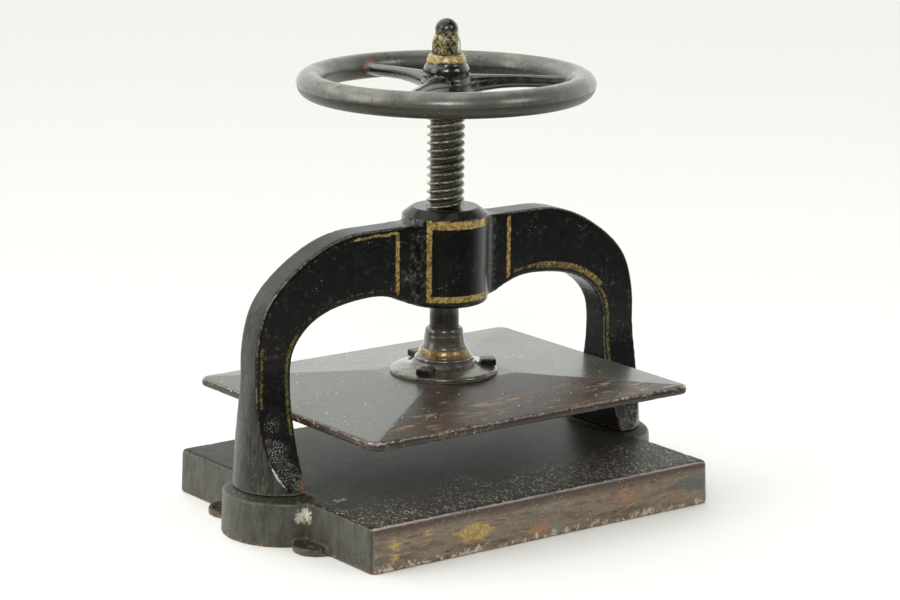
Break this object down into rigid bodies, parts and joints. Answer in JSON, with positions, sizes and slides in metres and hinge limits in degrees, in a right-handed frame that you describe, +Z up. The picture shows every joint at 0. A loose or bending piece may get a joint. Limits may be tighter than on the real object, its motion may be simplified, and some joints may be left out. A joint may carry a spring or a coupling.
{
  "type": "bookbinding press",
  "caption": "Cast-iron nipping press: arched yoke over a flat bed, and a hipped platen moved down and up by a coarse double-start screw with a spoked handwheel.",
  "frame": {"origin": "centre of the bed's underside, which is also the bottom centre of the bounding box", "axes": "+Z up along the screw, +X along the yoke to the operator's right, front towards -Y"},
  "size_m": [0.4218, 0.285, 0.4056],
  "materials": {
    "bed_iron": "black japan worn to brown and olive, chipped and speckled",
    "japanned_iron": "glossy black japan with worn gold lines",
    "platen_iron": "satin black worn to grey and brown, rust on the edges",
    "collar_iron": "worn bare iron, brown and grey, with traces of gold",
    "wheel_iron": "rim worn to smooth grey iron, spokes glossy black",
    "gilt_iron": "black with worn gold paint",
    "screw_steel": "oiled dark steel",
    "fastener_steel": "dark, rusted"
  },
  "bodies": {
    "frame": {"base_casting": "bed_iron", "yoke_casting": "japanned_iron", "yoke_bolt_left_front": "fastener_steel", "yoke_bolt_left_back": "fastener_steel", "yoke_bolt_right_front": "fastener_steel", "yoke_bolt_right_back": "fastener_steel", "yoke_washer_left_front": "fastener_steel", "yoke_washer_left_back": "fastener_steel", "yoke_washer_right_front": "fastener_steel", "yoke_washer_right_back": "fastener_steel"},
    "platen": {"platen": "platen_iron", "platen_collar": "collar_iron", "collar_bolt_1": "fastener_steel", "collar_bolt_2": "fastener_steel", "collar_bolt_3": "fastener_steel"},
    "screw": {"screw_spindle": "screw_steel", "handwheel": "wheel_iron", "acorn_nut": "gilt_iron", "retaining_washer": "fastener_steel", "retaining_screw": "fastener_steel"}
  },
  "joints": [
    {"name": "platen_travel", "type": "slide", "parent": "frame", "child": "platen", "axis": [0, 0, 1], "range_m": [-0.054, 0.02]},
    {"name": "screw_turn", "type": "hinge", "parent": "platen", "child": "screw", "pos_m": [0, 0, 0.2], "axis": [0, 0, 1], "range_deg": [-1440, 530]}
  ],
  "couplings": [
    {"joint": "platen_travel", "follows": "screw_turn", "m_per_rad": 0.0021486}
  ]
}
